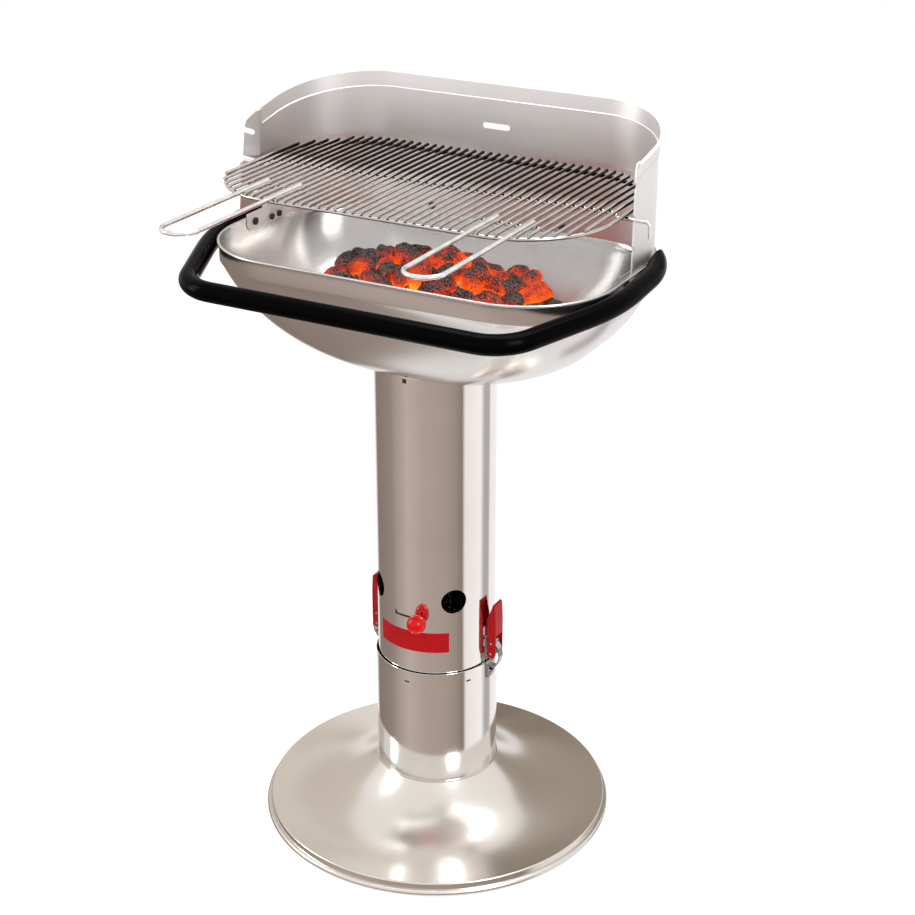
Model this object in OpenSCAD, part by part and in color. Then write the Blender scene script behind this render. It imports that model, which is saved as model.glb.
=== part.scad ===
// Pedestal charcoal grill with a chimney column, at its real size in millimetres.
// The column axis is Z, the floor is z = 0, the front faces -Y and the right side +X.

/* [Foot] */
// Outer radius of the rolled rim that stands on the floor
foot_r = 251; // [230:1:280]
// Height of the sharp edge of the disc
foot_edge_h = 18; // [14:1:26]
// Height of the neck that carries the ash bucket
foot_h = 78; // [70:1:100]
// Sheet thickness of the foot
foot_wall = 1.5; // [1.2:0.1:2.5]
// Radius of the rolled rim's own section
foot_roll_r = 4.5; // [4:0.5:6]
// Number of bolts between foot and ash bucket
foot_bolt_count = 3; // [3:1:6]
// Radius of the circle of those bolts
foot_bolt_circle = 60; // [50:1:68]

/* [Column] */
// Step between the outer radii of chimney tube and ash bucket
column_step = 3.1; // [3:0.1:4]
// Height of the ash bucket
bucket_h = 175; // [150:1:220]
// Outer radius of the chimney tube
tube_r = 83.2; // [82.6:0.1:83.6]
// Length of the chimney tube
tube_len = 457; // [440:1:560]
// Depth of the tube's lower end inside the bucket
tube_overlap = 12; // [11:1:14]
// Sheet thickness of bucket and tube
column_wall = 1; // [0.8:0.1:1.2]
// Number of lanced tabs that carry the tube in the bucket
lance_count = 6; // [3:1:8]
// Width of one lanced tab
lance_w = 7; // [5:0.5:9]
// Side of the square holes that take the collar's tabs
tab_hole = 6; // [5:0.5:8]

/* [Air regulator] */
// Radius of the round air holes
air_hole_r = 18; // [14:0.5:18]
// Height of the air holes above the seam
air_hole_up = 112; // [104:1:125]
// Number of air holes
air_hole_count = 4; // [4:1:4]
// Bearing of the first air hole from +X
air_hole_turn = -44; // [-48:1:-40]
// Height of the regulator slot above the seam
slot_up = 86; // [82:1:88]
// Width of the regulator slot
slot_w = 3.4; // [3:0.1:4]
// Bearing of the knob when the holes are open
knob_turn = -77; // [-80:1:-74]
// Travel of the regulator in degrees
knob_travel = 26; // [25.5:0.5:30]
// Radius of the ball knob
knob_r = 13.5; // [11:0.5:15]
// Gap between knob and tube
knob_gap = 3; // [2.5:0.5:6]
// Height of the regulator sleeve
sleeve_h = 70; // [66:1:76]
// Thickness of the regulator sleeve
sleeve_wall = 0.8; // [0.6:0.1:1]
// Height of the label plate
label_h = 30; // [20:1:32]
// Angle that the label plate covers
label_angle = 76; // [50:1:80]
// Height of the label's lower edge above the seam
label_up = 34; // [32:1:38]

/* [Bowl] */
// Width of the bowl over its band
bowl_w = 556; // [540:1:580]
// Depth of the bowl over its band
bowl_d = 348; // [330:1:370]
// Plan radius of the bowl's corners
bowl_corner = 121; // [110:1:130]
// Height of the straight band under the rim
band_h = 24; // [22:1:35]
// Height of the dished bottom
dish_h = 133; // [120:1:150]
// Sheet thickness of the bowl
bowl_wall = 1.2; // [1:0.1:2]
// Radius of the rolled rim
rim_r = 1.75; // [1.4:0.05:1.75]
// Half length of the fuel grate
grate_x = 150; // [130:1:170]
// Height of the fuel grate above the bowl's mouth
grate_up = 50; // [45:1:60]
// Radius of the fuel grate wires
grate_wire_r = 2.5; // [2:0.1:3]
// Spacing of the fuel grate wires
grate_pitch = 16; // [12:1:24]

/* [Windshield] */
// Height of the windshield's back above the bowl rim
shield_h = 173; // [160:1:200]
// Slope of its top edge, falling to the front, in degrees
shield_slope = 11.4; // [6:0.1:14]
// Sheet thickness of the windshield
shield_wall = 1; // [0.8:0.1:1.5]
// Width of the top flange
shield_flange = 6.5; // [4:0.5:10]
// Height of the lap inside the bowl
shield_lap = 18; // [16:1:20]
// Place of the front fold line along Y
fold_y = 10; // [6:1:14]
// Outward angle of the front strip in degrees
strip_angle = 20; // [10:1:24]
// Distance of the raised bead below the top edge
bead_drop = 20; // [16:1:26]
// Height of the middle notch above the bowl rim
notch_up = 73; // [70:1:76]
// Height between two notches
notch_step = 40; // [34:1:42]
// Width of a notch
notch_w = 7; // [6:0.2:8]
// Slope of a notch, falling to the back, in degrees
notch_slope = 25; // [20:1:30]
// Length of the slot in the back panel
back_slot_l = 41; // [30:1:60]
// Height of the slot in the back panel
back_slot_h = 8; // [6:0.5:12]

/* [Side handle] */
// Distance from the bowl's sides in to the crossing of front bar and arm
handle_in = 50.1; // [48:0.1:50.1]
// Reach of the front bar's centre line before the bowl
handle_out = 68.2; // [68:0.1:76]
// Radius of the handle tube
handle_r = 13.1; // [11:0.1:13.1]
// Wall of the handle tube
handle_wall = 1.5; // [1.2:0.1:2]
// Plan radius of the front corners
handle_corner = 60.6; // [55:0.1:62]
// Angle by which the arms spread to the back
handle_splay = 22.6; // [22:0.1:23]
// Length of the straight part of an arm
handle_arm = 89.4; // [89:0.1:94]
// Plan radius of the bends that lead the arms along the bowl
handle_side_bend = 242; // [238:1:250]
// Length of the straight part beside the bowl
handle_side = 43; // [40:1:46]
// Plan radius of the inward bends at the ends
handle_end_bend = 127; // [120:1:135]
// Height of the front bar below the bowl rim
handle_drop = 24.3; // [22:0.1:26]
// Rise of the handle to the back in degrees
handle_tilt = 4.2; // [3.8:0.1:4.4]

/* [Cooking grid] */
// Half length of the grid over its frame wire
grid_x = 271; // [262:1:272]
// Distance of the grid's front edge from the notch line
grid_front = 164; // [150:1:170]
// Distance of the rear wire's outer edge from the notch line
grid_back = 148; // [140:1:150]
// Plan radius of the grid's corners
grid_corner = 117; // [90:1:135]
// Spacing of the bars
bar_pitch = 12.3; // [11:0.1:14]
// Radius of a bar
bar_r = 2.2; // [1.5:0.1:2.5]
// Radius of the frame wire and cross wires
wire_r = 2.5; // [2:0.1:2.8]
// How far the bars stand past the rear wire
bar_tip = 12; // [6:1:16]
// Radius of the grid handles' wire
grip_wire_r = 3; // [2.5:0.1:3]
// Reach of the grid handles in front of the grid
grip_reach = 178; // [150:1:220]
// Width of a grid handle in bar spacings
grip_bars = 4; // [3:1:5]
// Bar spacing at which a grid handle starts
grip_start = 11; // [9:1:13]
// Reach of the hook ends past the windshield
hook_reach = 14; // [12:1:18]
// Length of the turned down hook ends
hook_drop = 20; // [14:1:24]

/* [Toggle clamps] */
// Height of the lever's hinge pin above the seam
lever_up = 15.5; // [15:0.5:18]
// Length of the lever above its hinge
lever_len = 78; // [60:1:80]
// Width of the lever
lever_w = 22; // [21:0.5:24]
// Thickness of the lever's cheeks
lever_wall = 1.6; // [1.2:0.1:2]
// Distance of the hinge pin from the tube
pivot_out = 9.5; // [9.3:0.1:10.5]
// Radius of the hinge pins
pin_r = 2; // [1.6:0.1:2.2]
// Distance between hinge pin and hook pin
hook_arm = 16; // [15:0.5:17]
// Width of the hook strap
hook_w = 11; // [9:0.5:12]
// Thickness of the hook strap
hook_t = 1.8; // [1.4:0.1:2]

/* [Hidden] */
$fn = 72;
eps = 0.01;
// Running gap between pieces that seat on each other
fit_gap = 0.3;

// Heights of the column, each from the piece below it
bucket_r = tube_r + column_step;
bucket_z = foot_h;
seam_z = bucket_z + bucket_h;
tube_z = seam_z - tube_overlap;
tube_top_z = tube_z + tube_len;
bowl_z = tube_top_z - 3;
band_z = bowl_z + dish_h;
rim_z = band_z + band_h;
half_w = bowl_w / 2;
half_d = bowl_d / 2;
tube_inner_r = tube_r - column_wall;
bucket_inner_r = bucket_r - column_wall;
air_hole_z = seam_z + air_hole_up;
slot_z = seam_z + slot_up;
sleeve_r = tube_inner_r - fit_gap;
stem_head_r = 4;
stem_head_sag = stem_head_r * stem_head_r / (sleeve_r - sleeve_wall) / 2 + 0.03;
sleeve_z = air_hole_z - sleeve_h / 2 - 3;
tube_hole_r = tube_r + 0.4;

// A straight round bar between two points
module rod(p, q, r) {
    d = q - p;
    l = norm(d);
    translate(p)
        rotate([0, acos(d[2] / l), atan2(d[1], d[0])])
            cylinder(h = l, r = r, $fn = 24);
}

// A quarter bend in the XY plane about its own centre
module bend(centre, bend_r, r, from_angle, sweep = 90) {
    translate(centre)
        rotate([0, 0, from_angle])
            rotate_extrude(angle = sweep, $fn = 96)
                translate([bend_r, 0]) circle(r = r, $fn = 24);
}

// A closed wire loop with round corners, centre lines at x, y0 and y1
module wire_loop(x, y0, y1, corner, r) {
    cx = x - corner;
    rod([-cx, y0, 0], [cx, y0, 0], r);
    rod([-cx, y1, 0], [cx, y1, 0], r);
    for (side = [-1, 1]) rod([side * x, y0 + corner, 0], [side * x, y1 - corner, 0], r);
    bend([cx, y1 - corner, 0], corner, r, 0);
    bend([-cx, y1 - corner, 0], corner, r, 90);
    bend([-cx, y0 + corner, 0], corner, r, 180);
    bend([cx, y0 + corner, 0], corner, r, 270);
}

// A rectangle with true round corners
module round_rect(x, y, corner) {
    square([2 * x, 2 * (y - corner)], center = true);
    square([2 * (x - corner), 2 * y], center = true);
    for (sx = [-1, 1], sy = [-1, 1])
        translate([sx * (x - corner), sy * (y - corner)]) circle(r = corner, $fn = 120);
}

// A piece of a ring between two bearings
module ring_piece(r0, r1, z0, z1, from_angle, sweep) {
    rotate([0, 0, from_angle])
        rotate_extrude(angle = sweep, $fn = 120)
            translate([r0, z0]) square([r1 - r0, z1 - z0]);
}

// A round bar that points away from the column axis
module radial(r0, r1, z, bearing, r) {
    rotate([0, 0, bearing]) translate([r0, 0, z]) rotate([0, 90, 0]) cylinder(h = r1 - r0, r = r, $fn = 40);
}

// Foot: a spun sheet trumpet, from its disc edge up to its neck
neck_r = bucket_r - 2;
disc_r = foot_r - 6;
foot_steps = 14;
function foot_rise(t) = pow(t, 2.6);
function foot_skin(lift) = [
    for (i = [0:foot_steps])
        let (t = i / foot_steps)
            [disc_r - (disc_r - neck_r) * t, foot_edge_h - foot_wall + (foot_h - foot_edge_h) * foot_rise(t) + lift]
];

module base_foot() {
    skin = foot_skin(foot_wall);
    liner = foot_skin(0);
    roll_z = foot_roll_r - 0.3;
    color("gainsboro") difference() {
        union() {
            rotate_extrude($fn = 180)
                polygon(concat(skin, [for (i = [foot_steps:-1:0]) liner[i] - [foot_wall * 0.6 * i / foot_steps, 0]]));
            // flat seat for the bucket at the top of the neck
            rotate_extrude($fn = 180)
                translate([foot_bolt_circle - 12, foot_h - foot_wall])
                    square([neck_r - foot_bolt_circle + 12, foot_wall]);
            // flange ring at the neck
            rotate_extrude($fn = 180)
                translate([neck_r - 0.6, foot_h - foot_wall])
                    square([bucket_r + 0.6 - neck_r + 0.6, foot_wall]);
            // step down from the disc edge to the rolled rim
            rotate_extrude($fn = 180)
                translate([disc_r - foot_wall, roll_z])
                    square([foot_wall, foot_edge_h - roll_z]);
            intersection() {
                rotate_extrude($fn = 180)
                    translate([foot_r - foot_roll_r, roll_z]) circle(r = foot_roll_r, $fn = 32);
                translate([0, 0, foot_edge_h / 2]) cylinder(h = foot_edge_h, r = foot_r + 1, center = true);
            }
        }
        for (i = [0:foot_bolt_count - 1])
            rotate([0, 0, 90 + i * 360 / foot_bolt_count])
                translate([foot_bolt_circle, 0, foot_h - 5]) cylinder(h = 10, r = 3, $fn = 32);
    }
}

module foot_bolts() {
    color("silver")
        for (i = [0:foot_bolt_count - 1])
            rotate([0, 0, 90 + i * 360 / foot_bolt_count]) translate([foot_bolt_circle, 0, 0]) {
                translate([0, 0, foot_h - foot_wall - 4]) cylinder(h = 4, r = 5, $fn = 6);
                translate([0, 0, foot_h - foot_wall - eps]) cylinder(h = foot_wall + column_wall + 3, r = 2.7, $fn = 24);
                translate([0, 0, foot_h + column_wall]) cylinder(h = 3, r = 5, $fn = 6);
            }
}

// Ash bucket: an open cup with lanced tabs that carry the chimney tube
catch_z = seam_z - 25;
catch_h = 22;
window_w = 14;
window_h = 11;
window_z = catch_z + 6;

module ash_bucket() {
    color("silver") difference() {
        union() {
            rotate_extrude($fn = 180) translate([bucket_inner_r, bucket_z]) square([column_wall, bucket_h]);
            translate([0, 0, bucket_z]) cylinder(h = column_wall, r = bucket_inner_r + eps, $fn = 180);
            for (i = [0:lance_count - 1]) rotate([0, 0, -90 + i * 360 / lance_count])
                intersection() {
                    translate([tube_inner_r - 0.5, -lance_w / 2, tube_z - 2.5 - fit_gap]) cube([8, lance_w, 2.5]);
                    cylinder(h = seam_z, r = bucket_inner_r + eps, $fn = 180);
                }
        }
        // slits below the tabs, where the metal was pushed in
        for (i = [0:lance_count - 1]) rotate([0, 0, -90 + i * 360 / lance_count])
            translate([bucket_r - 3, -lance_w / 2, tube_z - 2.5 - fit_gap - 2.5]) cube([6, lance_w, 2.5]);
        for (side = [0, 180]) rotate([0, 0, side])
            translate([bucket_r - 5, -window_w / 2, window_z]) cube([10, window_w, window_h]);
        for (i = [0:foot_bolt_count - 1])
            rotate([0, 0, 90 + i * 360 / foot_bolt_count])
                translate([foot_bolt_circle, 0, bucket_z - 2]) cylinder(h = 6, r = 3, $fn = 32);
    }
}

// Chimney tube, with air holes, the regulator slot and the bead that carries the bowl
module chimney_tube() {
    slot_from = knob_turn - knob_travel;
    color("silver") difference() {
        union() {
            rotate_extrude($fn = 180) translate([tube_inner_r, tube_z]) square([column_wall, tube_len]);
            rotate_extrude($fn = 180) translate([tube_r, bowl_z - fit_gap - 1.2]) circle(r = 1.2, $fn = 24);
        }
        cylinder(h = 2 * rim_z, r = tube_inner_r, $fn = 180);
        for (i = [0:air_hole_count - 1])
            radial(tube_r - 8, tube_r + 8, air_hole_z, air_hole_turn - i * 360 / air_hole_count, air_hole_r);
        ring_piece(tube_r - 5, tube_r + 5, slot_z - slot_w / 2, slot_z + slot_w / 2, slot_from, knob_travel);
        for (end = [slot_from, knob_turn]) radial(tube_r - 5, tube_r + 5, slot_z, end, slot_w / 2);
        // upturned rest at the closed end of the slot
        rotate([0, 0, slot_from]) translate([tube_r - 5, -slot_w / 2, slot_z]) cube([10, slot_w, 5]);
        for (i = [0:2]) rotate([0, 0, -90 + 120 * i])
            translate([tube_r - 5, -tab_hole / 2, bowl_z - 7 - tab_hole / 2]) cube([10, tab_hole, tab_hole]);
        for (side = [0, 180]) for (dz = rivet_up) radial(tube_r - 5, tube_r + 5, seam_z + dz, side, rivet_r + 0.1);
    }
}

module label_plate() {
    color("firebrick")
        ring_piece(tube_r + 0.1, tube_r + 0.6, seam_z + label_up, seam_z + label_up + label_h,
                   -87 - label_angle / 2, label_angle);
}

// Regulator sleeve: turns inside the tube and covers the air holes
module air_sleeve() {
    color("dimgray") difference() {
        rotate_extrude($fn = 180) translate([sleeve_r - sleeve_wall, sleeve_z]) square([sleeve_wall, sleeve_h]);
        for (i = [0:air_hole_count - 1])
            radial(sleeve_r - 8, sleeve_r + 8, air_hole_z, air_hole_turn - i * 360 / air_hole_count, air_hole_r);
    }
}

module regulator_stem() {
    color("lightgray") {
        radial(sleeve_r, tube_r + 1, slot_z, knob_turn, slot_w / 2 - 0.2);
        radial(tube_r + 0.4, tube_r + knob_gap + 1.2, slot_z, knob_turn, stem_head_r);
        // the inner head is flat, so it ends where its corners clear the curved sleeve
        radial(sleeve_r - sleeve_wall - stem_head_sag - 2, sleeve_r - sleeve_wall - stem_head_sag, slot_z, knob_turn, stem_head_r);
    }
}

module regulator_knob() {
    color("red") difference() {
        rotate([0, 0, knob_turn]) translate([tube_r + knob_gap + knob_r, 0, slot_z]) sphere(r = knob_r, $fn = 64);
        radial(tube_r, tube_r + knob_gap + 1.2 + eps, slot_z, knob_turn, 4.1);
    }
}

// Bowl: rings of a rounded rectangle that close down to the round mouth over the tube
mouth_r = tube_hole_r - 1;
ring_fn = 13;
dish_steps = 11;
function ring_points(x, y, corner, z) = [
    for (q = [0:3], i = [0:ring_fn])
        let (a = 90 * q + 90 * i / ring_fn,
             sx = (q == 0 || q == 3) ? 1 : -1,
             sy = (q < 2) ? 1 : -1)
            [sx * (x - corner) + corner * cos(a), sy * (y - corner) + corner * sin(a), z]
];
function dish_ring(s, inset) = ring_points(
    half_w - inset * (1 - s) - (half_w - mouth_r) * pow(s, 1.58),
    half_d - inset * (1 - s) - (half_d - mouth_r) * pow(s, 0.78),
    bowl_corner - inset * (1 - s) - (bowl_corner - mouth_r + 0.5) * s,
    band_z + inset - dish_h * (1 - pow(1 - s, 1.86)));
ring_n = 4 * (ring_fn + 1);
function stitch(a, b) = [
    for (i = [0:ring_n - 1])
        let (j = (i + 1) % ring_n)
            [[a * ring_n + i, b * ring_n + j, b * ring_n + i], [a * ring_n + i, a * ring_n + j, b * ring_n + j]]
];

module bowl_shell() {
    outer = concat(
        [ring_points(half_w, half_d, bowl_corner, rim_z)],
        [for (i = [0:dish_steps]) dish_ring(i / dish_steps, 0)]);
    inner = concat(
        [for (i = [dish_steps:-1:0]) dish_ring(i / dish_steps, bowl_wall)],
        [ring_points(half_w - bowl_wall, half_d - bowl_wall, bowl_corner - bowl_wall, rim_z)]);
    rings = concat(outer, inner);
    n = len(rings);
    polyhedron(
        points = [for (ring = rings, p = ring) p],
        faces = [for (k = [0:n - 1], quad = stitch(k, (k + 1) % n), tri = quad) tri],
        convexity = 6);
}

shield_bolt_z = rim_z - 8;
back_bolt_x = 100;
bracket_z = rim_z - 12;
// the brackets sit where the bowl's sides are still flat
bracket_y = half_d - bowl_corner - 13;
screw_dy = 9;
// the rolled rim stands out from the band
rim_out = rim_r - bowl_wall + 0.1;

module shield_bolt_holes(r) {
    for (side = [-1, 1]) {
        translate([side * half_w, -9, shield_bolt_z]) rotate([0, 90, 0]) cylinder(h = 20, r = r, center = true, $fn = 32);
        translate([side * back_bolt_x, half_d, shield_bolt_z]) rotate([90, 0, 0])
            cylinder(h = 20, r = r, center = true, $fn = 32);
    }
}

module fire_bowl() {
    color("gainsboro") difference() {
        union() {
            bowl_shell();
            translate([0, 0, rim_z - rim_r / 2])
                wire_loop(half_w + rim_out, -half_d - rim_out, half_d + rim_out, bowl_corner + rim_out, rim_r);
        }
        translate([0, 0, bowl_z - 5]) cylinder(h = 20, r = tube_hole_r, $fn = 120);
        shield_bolt_holes(2.8);
        for (side = [-1, 1], dy = [-screw_dy, screw_dy]) translate([side * half_w, bracket_y + dy, bracket_z]) rotate([0, 90, 0])
            cylinder(h = 12, r = 2.8, center = true, $fn = 32);
    }
}

// Collar: locks the bowl to the tube, with tabs in the tube's square holes
module bowl_collar() {
    skirt_r = tube_inner_r - 0.2;
    flange_z = bowl_z + bowl_wall + 2.2;
    color("gray") {
        rotate_extrude($fn = 120) translate([skirt_r - 1, bowl_z - 18]) square([1, flange_z - bowl_z + 18 + 1]);
        rotate_extrude($fn = 120) translate([skirt_r - 1, flange_z]) square([tube_r + 4 - skirt_r + 1, 1.2]);
        for (i = [0:2]) rotate([0, 0, -90 + 120 * i])
            translate([skirt_r - 0.5, -tab_hole / 2 + 0.3, bowl_z - 7 - tab_hole / 2 + 0.3])
                cube([1.3, tab_hole - 0.6, tab_hole - 0.6]);
    }
}

// Windshield: a U of sheet inside the bowl's band, with a sloping top flange and notched front strips
shield_x = half_w - bowl_wall - fit_gap;
shield_y = half_d - bowl_wall - fit_gap;
shield_corner = bowl_corner - bowl_wall - fit_gap;
shield_top = rim_z + shield_h;
shield_z0 = rim_z - shield_lap;
strip_z0 = rim_z + 10;
notch_y = 0;
notch_z = rim_z + notch_up;
front_edge_low = -28;
front_edge_high = -14;

// Everything below the sloping plane of the top edge, dropped by a distance
module under_slope(drop) {
    translate([0, shield_y, shield_top - drop]) rotate([shield_slope, 0, 0])
        translate([-500, -500, -600]) cube([1000, 560, 600]);
}

module shield_ring(grow, wall) {
    difference() {
        round_rect(shield_x + grow, shield_y + grow, shield_corner + grow);
        round_rect(shield_x + grow - wall, shield_y + grow - wall, shield_corner + grow - wall);
        translate([-500, fold_y - 1000]) square([1000, 1000]);
    }
}

module front_strip() {
    run = fold_y - front_edge_low;
    top_z = shield_top - (shield_y - fold_y) * tan(shield_slope);
    // side outline of the strip: u runs to the front from the fold line
    difference() {
        translate([shield_x - shield_wall, fold_y, 0]) rotate([0, 0, strip_angle])
            translate([0, 0, 0]) rotate([90, 0, 90]) linear_extrude(shield_wall)
                polygon([[0.3, strip_z0], [-run, strip_z0], [-(fold_y - front_edge_high), top_z - 18],
                         [-(fold_y - front_edge_high) + 3, top_z - 10], [-4, top_z], [0.3, top_z]]);
        for (level = [-1, 0, 1]) notch(level);
    }
}

// One notch, cut straight through along X; its round end is the seat of the grid's wire
module notch(level) {
    z = notch_z + level * notch_step;
    translate([shield_x - 8, notch_y, z]) rotate([0, 90, 0]) cylinder(h = 40, r = notch_w / 2, $fn = 40);
    translate([shield_x - 8, notch_y, z]) rotate([-notch_slope, 0, 0])
        translate([0, -60, -notch_w / 2]) cube([40, 60, notch_w]);
}

module windshield() {
    color("silver") difference() {
        union() {
            intersection() {
                translate([0, 0, shield_z0]) linear_extrude(shield_top - shield_z0 + 20) shield_ring(0, shield_wall);
                under_slope(0);
            }
            // top flange, folded outwards
            difference() {
                intersection() {
                    translate([0, 0, rim_z]) linear_extrude(shield_top - rim_z + 20)
                        shield_ring(shield_flange, shield_flange + shield_wall);
                    under_slope(0);
                }
                under_slope(shield_wall);
            }
            // raised bead that follows the top edge
            difference() {
                intersection() {
                    translate([0, 0, rim_z]) linear_extrude(shield_top - rim_z + 20) shield_ring(0.8, 1.2);
                    under_slope(bead_drop);
                    translate([-500, fold_y + 10, 0]) cube([1000, 1000, 2000]);
                }
                under_slope(bead_drop + 2.4);
            }
            for (side = [0, 1]) mirror([side, 0, 0]) {
                front_strip();
                // lap tab against the bowl's band
                translate([shield_x - shield_wall, 0, 0]) rotate([90, 0, 90]) linear_extrude(shield_wall)
                    polygon([[fold_y + 1, shield_z0], [front_edge_low + 6, shield_z0], [front_edge_low, shield_z0 + 6],
                             [front_edge_low, rim_z + 6], [fold_y + 1, rim_z + 6]]);
            }
        }
        shield_bolt_holes(2.8);
        for (side = [-1, 1], dy = [-screw_dy, screw_dy]) translate([side * half_w, bracket_y + dy, bracket_z]) rotate([0, 90, 0])
            cylinder(h = 12, r = 2.8, center = true, $fn = 32);
        // through slot in the back panel
        translate([0, shield_y, shield_top - 57]) rotate([90, 0, 0]) for (side = [-1, 1]) {
            translate([side * (back_slot_l - back_slot_h) / 2, 0, 0])
                cylinder(h = 20, r = back_slot_h / 2, center = true, $fn = 32);
            cube([back_slot_l - back_slot_h, back_slot_h, 20], center = true);
        }
    }
}

module windshield_bolts() {
    // head inside, nut outside, at the bowl's sides and back
    module bolt() {
        inside = bowl_wall + fit_gap + shield_wall;
        translate([0, 0, -inside - 2.2]) cylinder(h = 2.2, r = 5, $fn = 32);
        translate([0, 0, -inside - eps]) cylinder(h = inside + 4.2, r = 2.5, $fn = 24);
        cylinder(h = 4, r = 4.5, $fn = 6);
    }
    color("dimgray") for (side = [-1, 1]) {
        translate([side * half_w, -9, shield_bolt_z]) rotate([0, side * 90, 0]) bolt();
        translate([side * back_bolt_x, half_d, shield_bolt_z]) rotate([-90, 0, 0]) bolt();
    }
}

// Side handle: one bent tube round the front; its arms follow the bowl and turn in to its sides
handle_x = half_w - handle_in;
handle_y = half_d + handle_out;
handle_face = half_w + rim_out + rim_r + 0.2;
handle_turn = 90 - handle_splay;
handle_cut = handle_corner * tan(handle_turn / 2);
function ahead(p, run) = [p[0] + run * cos(p[2]), p[1] + run * sin(p[2]), p[2]];
// stations of a bend that starts at p: place in the handle's plane and heading
function arc(p, r, sweep, n) = [
    for (k = [1:n])
        let (a = p[2] + sweep * k / n)
            [p[0] - r * sin(p[2]) + r * sin(a), p[1] + r * cos(p[2]) - r * cos(a), a]
];
function last(list) = list[len(list) - 1];
corner_start = [handle_x - handle_cut, 0, 0];
corner_arc = arc(corner_start, handle_corner, handle_turn, 8);
arm_end = ahead(last(corner_arc), handle_arm);
side_arc = arc(arm_end, handle_side_bend, handle_splay, 4);
side_end = ahead(last(side_arc), handle_side);
end_arc = arc(side_end, handle_end_bend, 60, 8);
right_half = concat([corner_start], corner_arc, [arm_end], side_arc, [side_end], end_arc);
handle_line = concat(
    [for (i = [len(right_half) - 1:-1:0]) [-right_half[i][0], right_half[i][1], -right_half[i][2]]],
    right_half);
tube_fn = 28;
// A round bar of a radius carried along the handle's line, with count sides
module handle_sweep(r, count) {
    n = len(handle_line);
    polyhedron(
        points = [for (p = handle_line, j = [0:count - 1])
            let (c = r * cos(360 * j / count))
                [p[0] - c * sin(p[2]), p[1] + c * cos(p[2]), r * sin(360 * j / count)]],
        faces = concat(
            [for (i = [0:n - 2], j = [0:count - 1])
                let (k = (j + 1) % count, a = i * count, b = a + count)
                    each [[a + j, b + k, a + k], [a + j, b + j, b + k]]],
            [[for (j = [0:count - 1]) j], [for (j = [count - 1:-1:0]) (n - 1) * count + j]]),
        convexity = 6);
}
module side_handle() {
    color("black") difference() {
        translate([0, -handle_y, rim_z - handle_drop]) rotate([handle_tilt, 0, 0]) difference() {
            handle_sweep(handle_r, tube_fn);
            handle_sweep(handle_r - handle_wall, 16);
        }
        // the ends are cut flat where they meet the bowl's sides
        translate([-handle_face, 30, rim_z - 60]) cube([2 * handle_face, 200, 120]);
    }
}

// Plates between the bowl's band and the ends of the handle
module handle_brackets() {
    color("dimgray") for (side = [0, 1]) mirror([side, 0, 0]) difference() {
        translate([half_w + 0.1, bracket_y - 16, bracket_z - 8]) cube([handle_face - half_w - 0.2, 32, 16]);
        for (dy = [-screw_dy, screw_dy]) translate([half_w, bracket_y + dy, bracket_z]) rotate([0, 90, 0])
            cylinder(h = 30, r = 2.6, center = true, $fn = 32);
    }
}

module handle_screws() {
    inside = bowl_wall + fit_gap + shield_wall;
    color("dimgray") for (side = [0, 1], dy = [-screw_dy, screw_dy]) mirror([side, 0, 0])
        translate([half_w, bracket_y + dy, bracket_z]) rotate([0, 90, 0]) {
            translate([0, 0, -inside - 2.2]) cylinder(h = 2.2, r = 4.5, $fn = 32);
            translate([0, 0, -inside - eps]) cylinder(h = inside + handle_face - half_w - 0.2, r = 2.4, $fn = 32);
        }
}

// Fuel grate: a welded wire grate whose long sides rest on the dish
grate_z = bowl_z + grate_up;
grate_s = 1 - pow(1 - (band_z + bowl_wall - grate_z) / dish_h, 1 / 1.86);
grate_wall_y = half_d - bowl_wall * (1 - grate_s) - (half_d - mouth_r) * pow(grate_s, 0.78);
grate_wall_tilt = atan(1.86 * dish_h * pow(1 - grate_s, 0.86) / ((half_d - mouth_r) * 0.78 * pow(grate_s, -0.22)));
grate_y = grate_wall_y - (grate_wire_r + fit_gap) / sin(grate_wall_tilt) - 4 * fit_gap;
grate_corner = 90;
module fuel_grate() {
    w = 2 * grate_wire_r;
    color("gray") translate([0, 0, grate_z - grate_wire_r]) linear_extrude(w) difference() {
        round_rect(grate_x + grate_wire_r, grate_y + grate_wire_r, grate_corner + grate_wire_r);
        round_rect(grate_x - grate_wire_r, grate_y - grate_wire_r, grate_corner - grate_wire_r);
    }
}

grate_bar_r = grate_wire_r - 0.5;
grate_bar_z = grate_z + grate_wire_r + grate_bar_r;
module fuel_grate_bars() {
    bars = floor((grate_x - 8) / grate_pitch);
    color("gray") for (i = [-bars:bars]) {
        x = i * grate_pitch;
        d = abs(x) - (grate_x - grate_corner);
        l = d <= 0 ? grate_y : grate_y - grate_corner + sqrt(grate_corner * grate_corner - d * d);
        rod([x, -l, grate_bar_z], [x, l, grate_bar_z], grate_bar_r);
    }
}

// Charcoal: a bed of angular lumps on the grate
lump_size = 24;
function wobble(i, k) = 2 * (sin(i * 127.1 + k * 311.7) * 43758.5453 - floor(sin(i * 127.1 + k * 311.7) * 43758.5453)) - 1;
gold = (1 + sqrt(5)) / 2;
ico = [
    [-1, gold, 0], [1, gold, 0], [-1, -gold, 0], [1, -gold, 0], [0, -1, gold], [0, 1, gold],
    [0, -1, -gold], [0, 1, -gold], [gold, 0, -1], [gold, 0, 1], [-gold, 0, -1], [-gold, 0, 1]
] / norm([1, gold]);
ico_faces = [
    [0, 5, 11], [0, 1, 5], [0, 7, 1], [0, 10, 7], [0, 11, 10], [1, 9, 5], [5, 4, 11], [11, 2, 10], [10, 6, 7], [7, 8, 1],
    [3, 4, 9], [3, 2, 4], [3, 6, 2], [3, 8, 6], [3, 9, 8], [4, 5, 9], [2, 11, 4], [6, 10, 2], [8, 7, 6], [9, 1, 8]
];
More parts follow.
